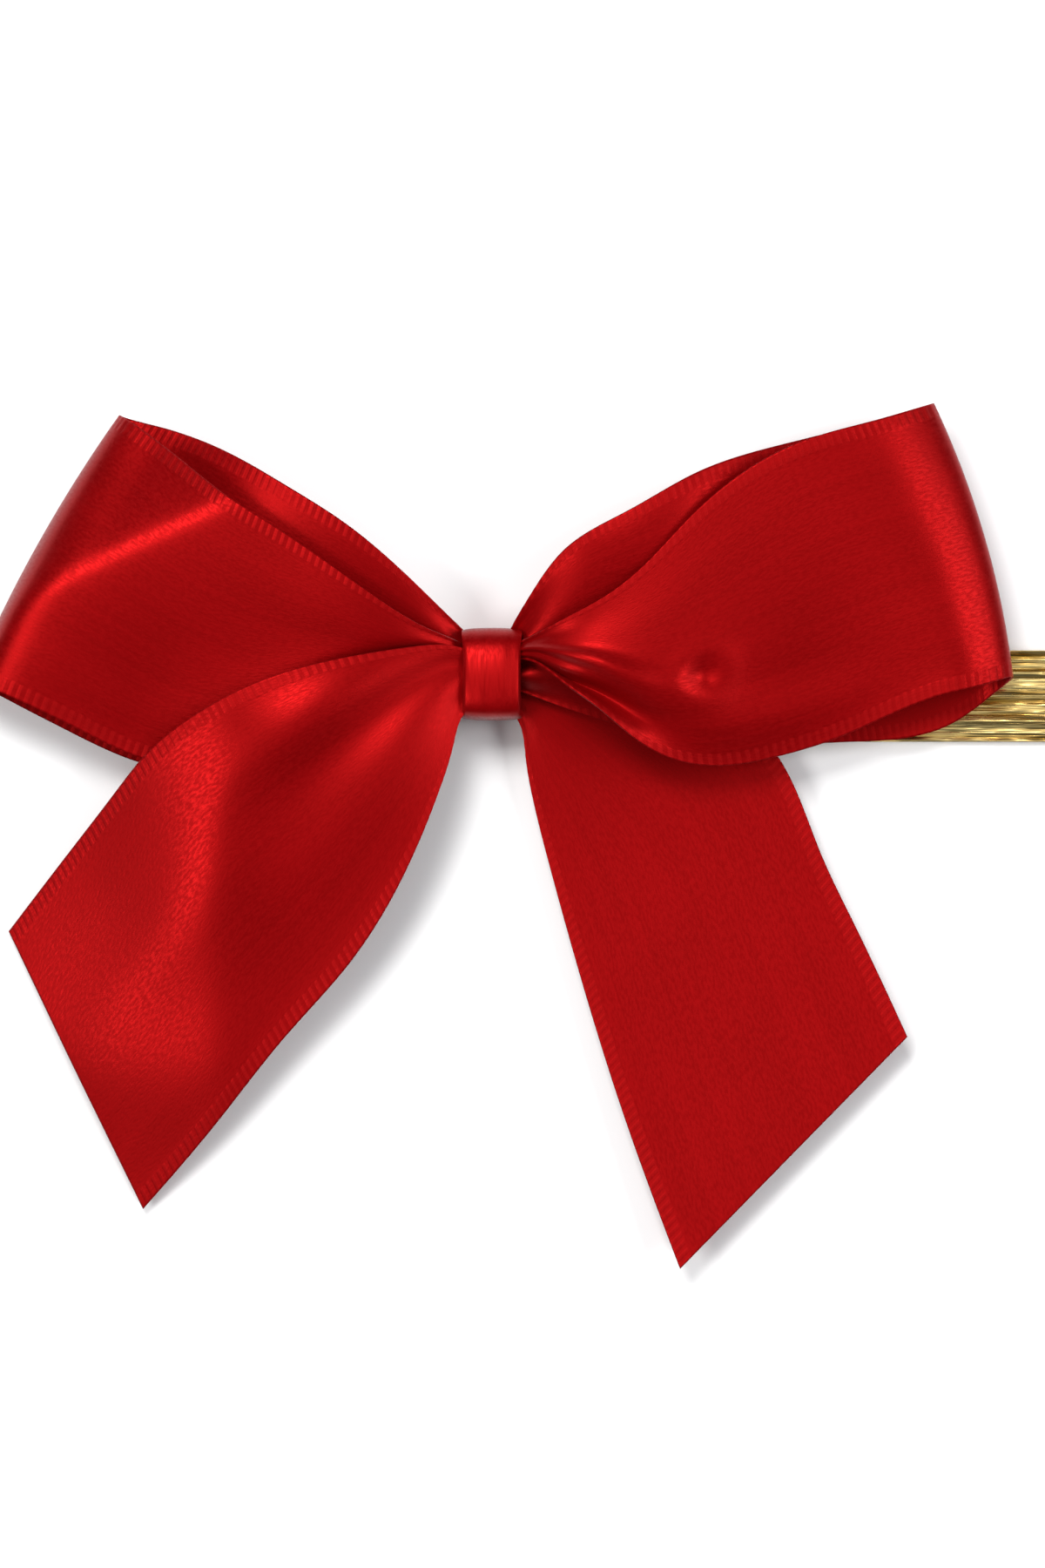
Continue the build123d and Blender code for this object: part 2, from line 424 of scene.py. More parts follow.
@dataclass(frozen=True)
class SatinFinish:
    """Warp-faced satin: long floats along the strip, a ribbed selvedge down both edges, each rib's crest lit
    by a painted highlight.
    """

    name: str = "red_satin"
    deep: Colour = (0.140, 0.0005, 0.0011)
    bright: Colour = (0.175, 0.0007, 0.0016)
    tint: Colour = (1.0, 0.020, 0.020)
    selvedge_tone: Colour = (0.16, 0.0008, 0.0016)
    # The ribs' lighter red is a painted highlight on each rib's crest.
    rib_highlight_tone: Colour = (0.60, 0.015, 0.015)
    sheen_tone: Colour = (1.0, 0.25, 0.22)
    # The share also sets how strongly the ribs take their painted highlight.
    tone_share: float = 0.08                        # how far the selvedge takes its own tones
    roughness: float = 0.38
    roughness_spread: float = 0.07
    selvedge_roughness: float = 0.06                # added at the selvedge
    weave_depth: float = 0.007
    rib_depth: float = 0.012
    index: float = 1.70
    stretch: float = 0.45                           # how much longer highlights are across the floats
    turn: float = 0.25                              # in turns
    width: float = RIBBON_WIDTH
    selvedges: bool = True
    float_grain: Point3 = (1.8, 4.6, 1.0)           # grains for each millimetre along and across
    fine_grain: Point3 = (2.6, 6.0, 1.0)
    streak_grain: Point3 = (0.035, 1.4, 1.0)
    cloud_grain: Point3 = (0.10, 0.10, 1.0)

    def build(self) -> bpy.types.Material:
        """Make the material.

        Returns:
            A material that reads the piece's own map, in millimetres along and across.
        """
        n = Nodes(self.name)
        uv = n.add("ShaderNodeUVMap", uv_map=MAP_NAME).outputs["UV"]
        parts = n.add("ShaderNodeSeparateXYZ")
        n.link(uv, parts.inputs[0])
        distance_along, distance_across = parts.outputs[0], parts.outputs[1]

        floats = n.noise(n.scaled(uv, self.float_grain), 1.0, 1.0)
        fine = n.noise(n.scaled(uv, self.fine_grain), 1.0, 0.0)
        streaks = n.noise(n.scaled(uv, self.streak_grain), 1.0, 3.0)
        clouds = n.noise(n.scaled(uv, self.cloud_grain), 1.0, 2.0)

        tone = n.math("ADD", n.math("MULTIPLY", streaks, 0.5), n.math("MULTIPLY", clouds, 0.5))
        colour = n.mix(n.between(tone, 0.30, 0.70, 0.0, 1.0), rgba(self.deep), rgba(self.bright))
        rubbed = n.math("ADD", floats, n.math("MULTIPLY", streaks, 0.2))
        roughness = n.between(rubbed, 0.40, 0.80, self.roughness - self.roughness_spread,
                              self.roughness + self.roughness_spread)
        normal = n.bump(floats, self.weave_depth)
        normal = n.bump(fine, self.weave_depth * 0.8, normal)

        if self.selvedges:
            middle = n.math("ABSOLUTE", n.math("SUBTRACT", distance_across, self.width / 2))
            start = self.width / 2 - SELVEDGE_WIDTH
            edge = n.between(middle, start - 0.1, start + 0.1, 0.0, 1.0)
            phase = n.math("MULTIPLY", distance_along, 2 * np.pi / SELVEDGE_PITCH)
            rib = n.math("MULTIPLY", n.between(n.math("SINE", phase), -0.6, 0.9, 0.0, 1.0), edge)
            colour = n.mix(n.math("MULTIPLY", edge, self.tone_share), colour, rgba(self.selvedge_tone))
            # Painted highlight: each rib's crest takes a lighter red, as if light caught it.
            colour = n.mix(n.math("MULTIPLY", rib, self.tone_share), colour, rgba(self.rib_highlight_tone))
            normal = n.bump(rib, self.rib_depth, normal)
            roughness = n.math("ADD", roughness, n.math("MULTIPLY", edge, self.selvedge_roughness))

        tangent = n.add("ShaderNodeTangent", direction_type="UV_MAP", uv_map=MAP_NAME)
        return n.coat({
            "Base Color": colour, "Roughness": roughness, "Normal": normal, "IOR": self.index,
            "Specular IOR Level": 1.0, "Specular Tint": rgba(self.tint),
            "Anisotropic": self.stretch, "Anisotropic Rotation": self.turn, "Tangent": tangent.outputs[0],
            "Sheen Weight": 0.01, "Sheen Roughness": 0.35, "Sheen Tint": rgba(self.sheen_tone),
        })


@dataclass(frozen=True)
class FoilFinish:
    """Gold metallised film, drawn lengthwise and slightly crushed; its streaky reflections are painted into
    its colour as dark and light gold.
    """

    name: str = "gold_foil"
    # The dark and light golds are painted shade and painted reflection of the crinkled foil.
    dark: Colour = (0.48, 0.26, 0.045)
    light: Colour = (0.97, 0.74, 0.30)
    draw_grain: Point3 = (0.035, 2.1, 1.0)          # grains for each millimetre along and across
    crush_grain: Point3 = (0.18, 1.3, 1.0)
    draw_depth: float = 0.34
    crush_depth: float = 0.26
    roughness: tuple[float, float] = (0.20, 0.32)

    def build(self) -> bpy.types.Material:
        """Make the material.

        Returns:
            A material that reads the strip's own map, in millimetres.
        """
        n = Nodes(self.name)
        uv = n.add("ShaderNodeUVMap", uv_map=MAP_NAME).outputs["UV"]
        draws = n.noise(n.scaled(uv, self.draw_grain), 1.0, 2.0)
        crush = n.noise(n.scaled(uv, self.crush_grain), 1.0, 2.0)
        # Painted reflection: the colour swings from dark to light gold with the same drawn and crushed
        # streaks that tilt the surface.
        tone = n.math("ADD", n.math("MULTIPLY", draws, 0.7), n.math("MULTIPLY", crush, 0.3))
        colour = n.mix(n.between(tone, 0.36, 0.62, 0.0, 1.0), rgba(self.dark), rgba(self.light))
        normal = n.bump(draws, self.draw_depth)
        normal = n.bump(crush, self.crush_depth, normal)
        roughness = n.between(crush, 0.3, 0.7, *self.roughness)
        return n.coat({"Base Color": colour, "Roughness": roughness, "Normal": normal, "Metallic": 1.0})


@dataclass(frozen=True)
class SimpleFinish:
    """A plain substance with a grain: its colour wanders between two tones."""

    name: str
    first: Colour
    second: Colour
    grain: float
    depth: float
    roughness: tuple[float, float]
    metallic: float = 0.0

    def build(self) -> bpy.types.Material:
        """Make the material.

        Returns:
            A material that reads Object coordinates, in metres.
        """
        n = Nodes(self.name)
        place = n.add("ShaderNodeTexCoord").outputs["Object"]
        value = n.noise(place, self.grain / MM, 3.0)
        colour = n.mix(n.between(value, 0.35, 0.65, 0.0, 1.0), rgba(self.first), rgba(self.second))
        roughness = n.between(value, 0.3, 0.7, *self.roughness)
        normal = n.bump(value, self.depth)
        return n.coat({"Base Color": colour, "Roughness": roughness, "Normal": normal,
                       "Metallic": self.metallic})


@dataclass
class Finishes:
    """Every finish of the bow, made once."""

    satin: bpy.types.Material = field(default_factory=lambda: SatinFinish().build())
    band: bpy.types.Material = field(
        default_factory=lambda: SatinFinish(name="red_satin_band", selvedges=False).build())
    foil: bpy.types.Material = field(default_factory=lambda: FoilFinish().build())
    wire: bpy.types.Material = field(default_factory=lambda: SimpleFinish(
        "soft_steel_wire", (0.42, 0.42, 0.44), (0.60, 0.60, 0.62), 6.0, 0.01, (0.28, 0.45), 1.0).build())
    thread: bpy.types.Material = field(default_factory=lambda: SimpleFinish(
        "red_thread", (0.22, 0.002, 0.004), (0.42, 0.006, 0.009), 14.0, 0.04, (0.55, 0.75)).build())
    glue: bpy.types.Material = field(default_factory=lambda: SimpleFinish(
        "set_glue", (0.72, 0.66, 0.50), (0.85, 0.80, 0.66), 3.0, 0.05, (0.25, 0.45)).build())


def dress(piece: bpy.types.Object, material: bpy.types.Material) -> None:
    """Give a new piece its material."""
    piece.data.materials.append(material)


# ---- creases ------------------------------------------------------------------------------
@dataclass(frozen=True)
class Crease:
    """A soft ridge, or a valley where its height is negative, that runs along a limb.

    Its height falls away on both sides as a bell curve.
    """

    line: list[Point2]      # (fraction along, fraction across)
    height: list[Point2]    # (fraction along, millimetres)
    spread: float           # half width, as a fraction across

    def lift(self, d: np.ndarray, v: np.ndarray) -> np.ndarray:
        """How far the crease lifts each place: height times a bell of the distance from its line."""
        offset = (v - ease(self.line, d)) / self.spread
        return ease(self.height, d) * np.exp(-offset**2)


@dataclass(frozen=True)
class Pleats:
    """The gathers that fan out of the knot: cosine waves across the strip that die away outwards."""

    count: float
    depth: float
    reach: float
    shift: float = 0.0

    def lift(self, d: np.ndarray, v: np.ndarray) -> np.ndarray:
        """Depth times a fading of d, times a cosine of v whose phase drifts a little with d."""
        fade = np.exp(-(d / self.reach) ** 1.5)
        return self.depth * fade * np.cos(2 * np.pi * (self.count * v + self.shift) + 0.8 * d)


@dataclass(frozen=True)
class Dimple:
    """A shallow round dent in a limb, with the sheet lifted a little round it."""

    centre: Point2
    radius: Point2
    depth: float

    def lift(self, d: np.ndarray, v: np.ndarray) -> np.ndarray:
        """A ring that rises and a middle that sinks: (r squared - 0.6) times a bell of r."""
        r2 = ((d - self.centre[0]) / self.radius[0]) ** 2 + ((v - self.centre[1]) / self.radius[1]) ** 2
        return self.depth * (r2 - 0.6) * np.exp(-r2)


@dataclass(frozen=True)
class Facet:
    """A flat part of a limb that turns down beyond a straight line, with a rounded ridge at the line.

    Looking from start to end, it lies on the side of the rising fraction along.
    """

    start: Point2           # (fraction along, fraction across)
    end: Point2
    slope: float            # fall for each millimetre beyond the line
    rounding: float         # how soft the ridge is, in millimetres
    limb: float             # the limb's length, in millimetres

    def lift(self, d: np.ndarray, v: np.ndarray) -> np.ndarray:
        """A soft ramp: slope times rounding times the logarithm of one plus e to (distance over rounding).

        Args:
            d: fractions along the limb.
            v: fractions across it.

        Returns:
            The fall at each place, as a height below nought.
        """
        line = np.array([(self.end[0] - self.start[0]) * self.limb,
                         (self.end[1] - self.start[1]) * RIBBON_WIDTH])
        line /= np.linalg.norm(line)
        beyond = (d - self.start[0]) * self.limb * line[1] - (v - self.start[1]) * RIBBON_WIDTH * line[0]
        return -self.slope * self.rounding * np.logaddexp(0.0, beyond / self.rounding)


Shape = Crease | Pleats | Dimple | Facet


def selvedge_relief(u_mm: np.ndarray, v: np.ndarray) -> np.ndarray:
    """Height of the ribs that cross each selvedge: a cosine along the strip, only near its edges.

    Args:
        u_mm: millimetres along the strip.
        v: fractions across it.

    Returns:
        Heights, in millimetres.
    """
    edge = np.minimum(v, 1 - v) * RIBBON_WIDTH
    mask = 1 - smoothstep(SELVEDGE_WIDTH - SELVEDGE_FADE, SELVEDGE_WIDTH, edge)
    return SELVEDGE_RELIEF * mask * (1 + np.cos(2 * np.pi * u_mm / SELVEDGE_PITCH))


def cloth_map(places: np.ndarray, v: np.ndarray) -> np.ndarray:
    """The map of a strip: millimetres along it and millimetres across it."""
    u = np.repeat(arc_length(places)[:, None], places.shape[1], axis=1)
    return np.stack([u, v * RIBBON_WIDTH], axis=-1)


# ---- the ribbon ---------------------------------------------------------------------------
@dataclass
class LoopRibbon:
    """One loop of the bow: out from the knot in front, round the fold, and back behind.

    Each layer has a selvedge above and a selvedge below, as plan curves from the knot to the fold.
    The side route gives distance from the knot, as a fraction, and height.
    """

    name: str
    body: str
    front_upper: list[Point2]
    front_lower: list[Point2]
    back_upper: list[Point2]
    back_lower: list[Point2]
    side: list[Point2]
    fold_bulge: float
    bend_from: Point3
    bend_to: Point3
    front_shapes: list[Shape] = field(default_factory=list)
    back_shapes: list[Shape] = field(default_factory=list)
    rows: int = 620
    columns: int = 61

    def surface(self) -> tuple[np.ndarray, np.ndarray]:
        """Work out the loop.

        A place is the straight blend of the two selvedges at its fraction across. Round the fold
        the front layer's selvedges turn smoothly into the back layer's. The fold's edge bows
        outwards as a parabola across. Creases and pleats lift each layer from the middle height.

        Returns:
            Places in millimetres, and the strip's map.
        """
        q, v = np.meshgrid(np.linspace(0, 1, self.rows), across(self.columns), indexing="ij")
        route = self.side_route(q)
        d = route[..., 0]
        turn = self.fold_fraction()
        front = 1 - smoothstep(turn - FOLD_SOFTNESS, turn + FOLD_SOFTNESS, q)
        upper = self.mixed(self.front_upper, self.back_upper, d, front)
        lower = self.mixed(self.front_lower, self.back_lower, d, front)
        plan = upper * (1 - v)[..., None] + lower * v[..., None]
        out = upper - lower
        out = np.stack([out[..., 1], -out[..., 0]], axis=-1)
        out /= np.linalg.norm(out, axis=-1, keepdims=True)
        outward = np.sign(self.front_upper[-1][0])
        bow = self.fold_bulge * 4 * v * (1 - v) * smoothstep(BULGE_START, 1.0, d)
        plan = plan + out * outward * bow[..., None]
        height = route[..., 1].copy()
        for shape in self.front_shapes:
            height += front * shape.lift(d, v)
        for shape in self.back_shapes:
            height += (1 - front) * shape.lift(d, v)
        places = np.concatenate([plan, height[..., None]], axis=-1)
        uv = cloth_map(places, v)
        places[..., 2] += selvedge_relief(uv[..., 0], v) * np.where(front > 0.5, 1, -1)
        return places, uv

    def mixed(
        self, first: list[Point2], second: list[Point2], d: np.ndarray, weight: np.ndarray
    ) -> np.ndarray:
        """A selvedge that is the first curve where weight is 1 and the second where it is 0."""
        w = weight[..., None]
        return along(first, d) * w + along(second, d) * (1 - w)

    def side_route(self, q: np.ndarray) -> np.ndarray:
        """Distance from the knot, as a share of the farthest, and height.

        Args:
            q: fractions of the route from the knot, round the fold, and back.

        Returns:
            The two values, shaped like q and then 2.
        """
        reach = abs(self.front_upper[-1][0])
        sized = [(share * reach, height) for share, height in self.side]
        farthest = along(sized, np.linspace(0, 1, ROUTE_SAMPLES))[:, 0].max()
        route = along(sized, q)
        return np.stack([np.clip(route[..., 0] / farthest, 0, 1), route[..., 1]], axis=-1)

    def fold_fraction(self) -> float:
        """Where along the side route the fold's outermost point lies."""
        q = np.linspace(0, 1, ROUTE_SAMPLES)
        return float(q[np.argmax(self.side_route(q)[:, 0])])

    def build(self, finishes: Finishes) -> bpy.types.Object:
        """Make the loop and dress it.

        Args:
            finishes: the bow's materials.

        Returns:
            The finished object.
        """
        places, uv = self.surface()
        outward = self.front_upper[-1][0] > 0
        piece = make_surface(self.name, places, uv, flip=outward)
        thicken(piece, RIBBON_THICK)
        dress(piece, finishes.satin)
        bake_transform(piece)
        return piece


@dataclass
class TailRibbon:
    """One tail: a single layer between two selvedges, cut on a slant."""

    name: str
    body: str
    carrier: str
    first_selvedge: list[Point2]
    second_selvedge: list[Point2]
    height: list[Point2]        # (fraction along, millimetres)
    bend_from: Point3
    bend_to: Point3
    rests_on: list[str]
    flat_share: float           # cut area over its rectangle
    shapes: list[Shape] = field(default_factory=list)
    flip: bool = False
    rows: int = 350
    columns: int = 61

    def surface(self) -> tuple[np.ndarray, np.ndarray]:
        """Work out the tail: the straight blend of two selvedges, lifted by height and creases.

        Returns:
            Places in millimetres, and the strip's map.
        """
        d, v = np.meshgrid(np.linspace(0, 1, self.rows), across(self.columns), indexing="ij")
        first, second = along(self.first_selvedge, d), along(self.second_selvedge, d)
        plan = first * (1 - v)[..., None] + second * v[..., None]
        height = ease(self.height, d)
        for shape in self.shapes:
            height = height + shape.lift(d, v)
        places = np.concatenate([plan, height[..., None]], axis=-1)
        uv = cloth_map(places, v)
        places[..., 2] += selvedge_relief(uv[..., 0], v)
        return places, uv

    def build(self, finishes: Finishes) -> bpy.types.Object:
        """Make the tail and dress it.

        Args:
            finishes: the bow's materials.

        Returns:
            The finished object.
        """
        places, uv = self.surface()
        piece = make_surface(self.name, places, uv, flip=self.flip)
        thicken(piece, RIBBON_THICK)
        dress(piece, finishes.satin)
        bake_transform(piece)
        return piece


def metres(place: Point3) -> Point3:
    """A place in metres."""
    return tuple(c * MM for c in place)


# ---- the knot -----------------------------------------------------------------------------
def rounded_section(fraction: np.ndarray, half_y: float, low: float, high: float, power: float) -> np.ndarray:
    """A closed rounded outline in Y and Z: a superellipse, whose power sets how square it is.

    Args:
        fraction: how far round, from 0 to 1, starting at +Y and turning towards +Z.
        half_y: half its width.
        low: its lowest height.
        high: its highest height.
        power: 2 for an ellipse, more for squarer corners.

    Returns:
        Y and Z, in millimetres.
    """
    angle = 2 * np.pi * fraction
    c, s = np.cos(angle), np.sin(angle)
    y = half_y * np.sign(c) * np.abs(c) ** (2 / power)
    z = (high + low) / 2 + (high - low) / 2 * np.sign(s) * np.abs(s) ** (2 / power)
    return np.stack([y, z], axis=-1)


@dataclass
class CentreBand:
    """The short strip folded lengthwise and wrapped round the waist of the bow."""

    half_length: float = BAND_HALF_LENGTH
    half_width: float = 4.0
    depth: float = 7.5
    thickness: float = 0.6
    power: float = 5.5              # how square the band's outline is
    edge_power: float = 0.75        # how full the strip's section is towards its edges
    side_power: float = 0.6
    fold_depth: float = 0.006
    long_wrinkle: float = 0.010
    short_wrinkle: float = 0.006
    crown: float = 0.70             # how far the front stands up
    crown_curve: float = 0.035      # its fall for each square millimetre from the crest
    crest: float = -1.2             # where the crest lies in Y
    edge_fall: float = 0.14
    flare: float = 0.10             # how far it widens in front and behind, and narrows at the sides
    length_round: float = 24.0      # millimetres round the band, for its map
    rows: int = 220
    columns: int = 72

    def surface(self) -> tuple[np.ndarray, np.ndarray]:
        """Work out the band: a flat oval cross-section carried round the waist.

        The strip's own section is an oval, long across the band and thin through it. Lengthwise
        folds are two steps across it, and soft wrinkles are sine waves that run with the strip.

        Returns:
            Places in millimetres, and the strip's map.
        """
        round_band = np.arange(self.rows) / self.rows
        round_strip = np.arange(self.columns) / self.columns
        a, b = np.meshgrid(round_band, round_strip, indexing="ij")
        angle = 2 * np.pi * b
        c, s = np.cos(angle), np.sin(angle)
        x = self.half_length * np.sign(c) * np.abs(c) ** self.edge_power
        through = self.thickness / 2 * np.sign(s) * np.abs(s) ** self.side_power
        outer = smoothstep(0.0, 0.5, s)
        t = x / self.half_length
        front = smoothstep(0.02, 0.18, a) * (1 - smoothstep(0.32, 0.48, a))
        folds = self.fold_depth * (smoothstep(-0.62, -0.42, t) - smoothstep(0.40, 0.60, t))
        wrinkle = self.long_wrinkle * np.sin(9.0 * t + 5.0 * np.sin(2 * np.pi * a))
        wrinkle = wrinkle + self.short_wrinkle * np.sin(15 * t - 7 * a * np.pi)
        waist = self.flare * np.cos(2 * np.pi * a * 2) * t
        middle = rounded_section(a, self.half_width - self.thickness / 2, self.thickness / 2,
                                 self.depth - self.thickness / 2, self.power)
        crown = self.crown - self.crown_curve * (middle[..., 0] - self.crest) ** 2
        crown = front * crown - self.edge_fall * t**2
        lift = outer * (folds + wrinkle + crown) * (0.35 + 0.65 * front)
        tangent = np.gradient(middle, axis=0)
        tangent /= np.maximum(np.linalg.norm(tangent, axis=-1, keepdims=True), 1e-9)
        normal = np.stack([tangent[..., 1], -tangent[..., 0]], axis=-1)
        lowest = 1 - smoothstep(0.0, 0.6, middle[..., 1])
        section = middle + normal * (through + lift * (1 - lowest))[..., None]
        section[..., 1] = np.maximum(section[..., 1], 0.0)
        places = np.stack([x + waist * front, section[..., 0], section[..., 1]], axis=-1)
        uv = np.stack([a * self.length_round, x + RIBBON_WIDTH / 2], axis=-1)
        return places, uv

    def build(self, finishes: Finishes) -> bpy.types.Object:
        """Make the band and let it ride on the knot.

        Args:
            finishes: the bow's materials.

        Returns:
            The finished object.
        """
        places, uv = self.surface()
        piece = make_surface("centre_band", places, uv, wrap_rows=True, wrap_columns=True)
        dress(piece, finishes.band)
        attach(piece, "knot")
        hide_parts("knot_band")
        LOG.info("centre_band: wrapped round the knot")
        return piece


@dataclass
class Waist:
    """The gathered plies of ribbon inside the band."""

    half_length: float = 0.95
    half_width: float = 2.2
    low: float = 2.15
    high: float = 6.15
    grooves: int = 9
    groove_depth: float = 0.045     # as a share of the bar's size
    power: float = 2.6              # how square its section is
    end_power: float = 6.0          # how blunt its ends are
    rows: int = 26
    columns: int = 144

    def surface(self) -> tuple[np.ndarray, np.ndarray]:
        """Work out the waist: a rounded bar whose side is fluted by a cosine, closed at both ends.

        Returns:
            Places in millimetres, and a map.
        """
        round_bar = np.arange(self.columns) / self.columns
        t, f = np.meshgrid(np.linspace(-1, 1, self.rows), round_bar, indexing="ij")
        section = rounded_section(f, self.half_width, self.low, self.high, self.power)
        middle = np.array([0.0, (self.low + self.high) / 2])
        flute = 1 - self.groove_depth * (1 + np.cos(2 * np.pi * self.grooves * f))
        close = np.sqrt(np.clip(1 - np.abs(t) ** self.end_power, 0, 1))
        section = middle + (section - middle) * (flute * close)[..., None]
        places = np.concatenate([(self.half_length * t)[..., None], section], axis=-1)
        return places, np.stack([t * self.half_length, f * 14.0], axis=-1)

    def build(self, finishes: Finishes) -> bpy.types.Object:
        """Make the waist and let it ride on the knot.

        Args:
            finishes: the bow's materials.

        Returns:
            The finished object.
        """
        places, uv = self.surface()
        piece = make_surface("gathered_waist", places, uv, wrap_columns=True, flip=True)
        merge = piece.modifiers.new("closed_ends", "WELD")
        merge.merge_threshold = 1e-6
        dress(piece, finishes.band)
        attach(piece, "knot")
        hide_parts("ribbon_waist")
        LOG.info("gathered_waist: inside the band")
        return piece


# ---- the twist tie ------------------------------------------------------------------------
class Side(Enum):
    """Which of the two films a strip is."""

    FRONT = "front"
    BACK = "back"


@dataclass
class TieFilm:
    """One film of the tie along part of its route, seen as a strip with a ridge over the wire.

    The route is in X and Z, and drift gives the strip's middle in Y.
    """

    name: str
    side: Side
    route: list[Point2]
    drift: list[Point2]
    body: str
    bend_from: Point3
    bend_to: Point3
    nodes: list[str]
    seed: int
    cup: float = 0.0            # how far its edges curl up
    ridge: float = 0.34         # how far the wire lifts the front film
    ridge_at: float = 0.0       # where the wire lies, from the strip's middle
    ridge_spread: float = 0.34
    half_gap: float = 0.055     # half the distance between the two films
    edge_wave: float = 0.03
    edge_pitch: float = 3.1
    carrier: str = "knot"
    half_width: float = 2.0
    thickness: float = 0.07
    rows: int = 420
    columns: int = 33

    def surface(self) -> tuple[np.ndarray, np.ndarray]:
        """Work out the film: a strip along the route, with a bell-shaped ridge and crushed waves.

        The waves are a sum of cosines, long along the strip and short across it, with seeded phases.

        Returns:
            Places in millimetres, and the strip's map.
        """
        q, v = np.meshgrid(np.linspace(0, 1, self.rows), np.linspace(-1, 1, self.columns), indexing="ij")
        across_mm = v * self.half_width
        line = along(self.route, q)
        tangent = np.gradient(line, axis=0)
        tangent /= np.linalg.norm(tangent, axis=-1, keepdims=True)
        normal = np.stack([-tangent[..., 1], tangent[..., 0]], axis=-1)
        length = np.linalg.norm(np.diff(np.asarray(self.route), axis=0), axis=1).sum()
        u = q * length
        draw = np.random.default_rng(self.seed)
        crush = np.zeros_like(q)
        for long_wave, short_wave, depth in CRUSH_WAVES:
            phases = draw.uniform(0, 2 * np.pi, 3)
            wander = 0.7 * np.sin(u / 3.0 + phases[2])
            lengthwise = np.cos(2 * np.pi * u / long_wave + phases[0])
            crush += depth * lengthwise * np.cos(2 * np.pi * across_mm / short_wave + phases[1] + wander)
        ridge = self.ridge * np.exp(-((across_mm - self.ridge_at) / self.ridge_spread) ** 2)
        edge_phase = draw.uniform(0, 6.28)
        edge = self.edge_wave * np.cos(2 * np.pi * u / self.edge_pitch + edge_phase) * np.abs(v) ** 6
        away = self.half_gap + ridge if self.side is Side.FRONT else -self.half_gap
        lift = away + crush + edge + self.cup * v**2
        place = line + normal * lift[..., None]
        y = ease(self.drift, q) + across_mm
        places = np.stack([place[..., 0], y, place[..., 1]], axis=-1)
        return places, np.stack([u, (v + 1) * self.half_width], axis=-1)

    def build(self, finishes: Finishes) -> bpy.types.Object:
        """Make the film and dress it.

        Args:
            finishes: the bow's materials.

        Returns:
            The finished object.
        """
        places, uv = self.surface()
        piece = make_surface(self.name, places, uv, flip=self.side is Side.FRONT)
        thicken(piece, self.thickness)
        dress(piece, finishes.foil)
        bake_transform(piece)
        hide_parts(*self.nodes)
        LOG.info("%s: %d rows of foil", self.name, self.rows)
        return piece


# ---- the studio ---------------------------------------------------------------------------
@dataclass(frozen=True)
class SoftLight:
    """A square soft light that faces the bow."""

    name: str
    place: Point3       # millimetres
    size: float         # its side, in millimetres
    power: float        # watts
    colour: Colour


@dataclass
class Studio:
    """A pale floor, soft lights and a camera that looks straight down on the bow."""

    aim: Point3 = (2.65, -9.5, 0.0)
    distance: float = 758.0
    lens: float = 200.0
    floor_half: float = 1500.0
    floor_level: float = -0.02
    surroundings: Colour = (0.90, 0.95, 1.0)
    surroundings_strength: float = 0.12
    lights: tuple[SoftLight, ...] = (
        SoftLight("key", (-120, 290, 600), 220, 3.1, (1.0, 0.99, 0.98)),
        SoftLight("left", (-410, -120, 570), 240, 2.0, (1.0, 0.98, 0.97)),
        SoftLight("overhead", (0, 0, 1100), 900, 1.5, (0.95, 0.98, 1.0)),
        SoftLight("right", (400, 40, 420), 260, 1.6, (0.98, 0.99, 1.0)),
    )

    def floor(self) -> None:
        """Lay the floor, a few metres across, just under the bow."""
        mesh = bpy.data.meshes.new("floor")
        half, level = self.floor_half * MM, self.floor_level * MM
        corners = [(-half, -half, level), (half, -half, level), (half, half, level), (-half, half, level)]
        mesh.from_pydata(corners, [], [(0, 1, 2, 3)])
        floor = bpy.data.objects.new("floor", mesh)
        bpy.context.scene.collection.objects.link(floor)
        n = Nodes("pale_floor")
        place = n.add("ShaderNodeTexCoord").outputs["Object"]
        cloud = n.noise(place, 40.0, 2.0)
        pale, paler = rgba((0.93, 0.935, 0.94)), rgba((0.96, 0.96, 0.96))
        n.link(n.mix(cloud, pale, paler), n.shader.inputs["Base Color"])
        n.shader.inputs["Roughness"].default_value = 0.9
        n.shader.inputs["Specular IOR Level"].default_value = 0.1
        mesh.materials.append(n.material)

    def hang(self, light: SoftLight) -> None:
        """Hang one of the lights.

        Args:
            light: its place, size, power and colour.
        """
        lamp = bpy.data.lights.new(light.name, "AREA")
        lamp.size = light.size * MM
        lamp.energy = light.power
        lamp.color = light.colour
        rig = bpy.data.objects.new(light.name, lamp)
        rig.location = metres(light.place)
        toward = Vector(metres(self.aim)) - Vector(metres(light.place))
        rig.rotation_euler = toward.to_track_quat("-Z", "Y").to_euler()
        bpy.context.scene.collection.objects.link(rig)

    def camera(self) -> None:
        """Stand the camera above the bow, with +Y up in its view."""
        data = bpy.data.cameras.new("camera")
        data.lens = self.lens
        data.sensor_fit = "VERTICAL"
        data.sensor_height = SENSOR_HEIGHT
        rig = bpy.data.objects.new("camera", data)
        rig.location = metres((self.aim[0], self.aim[1], self.distance))
        bpy.context.scene.collection.objects.link(rig)
        bpy.context.scene.camera = rig

    def build(self) -> None:
        """Set up the floor, the lights, the surroundings and the camera."""
        self.floor()
        self.camera()
        for light in self.lights:
            self.hang(light)
        world = bpy.data.worlds.new("surroundings")
        world.use_nodes = True
        background = world.node_tree.nodes["Background"]
        background.inputs[0].default_value = rgba(self.surroundings)
        background.inputs[1].default_value = self.surroundings_strength
        scene = bpy.context.scene
        scene.world = world
        scene.view_settings.view_transform = "Standard"
        LOG.info("studio: floor, lights and camera")


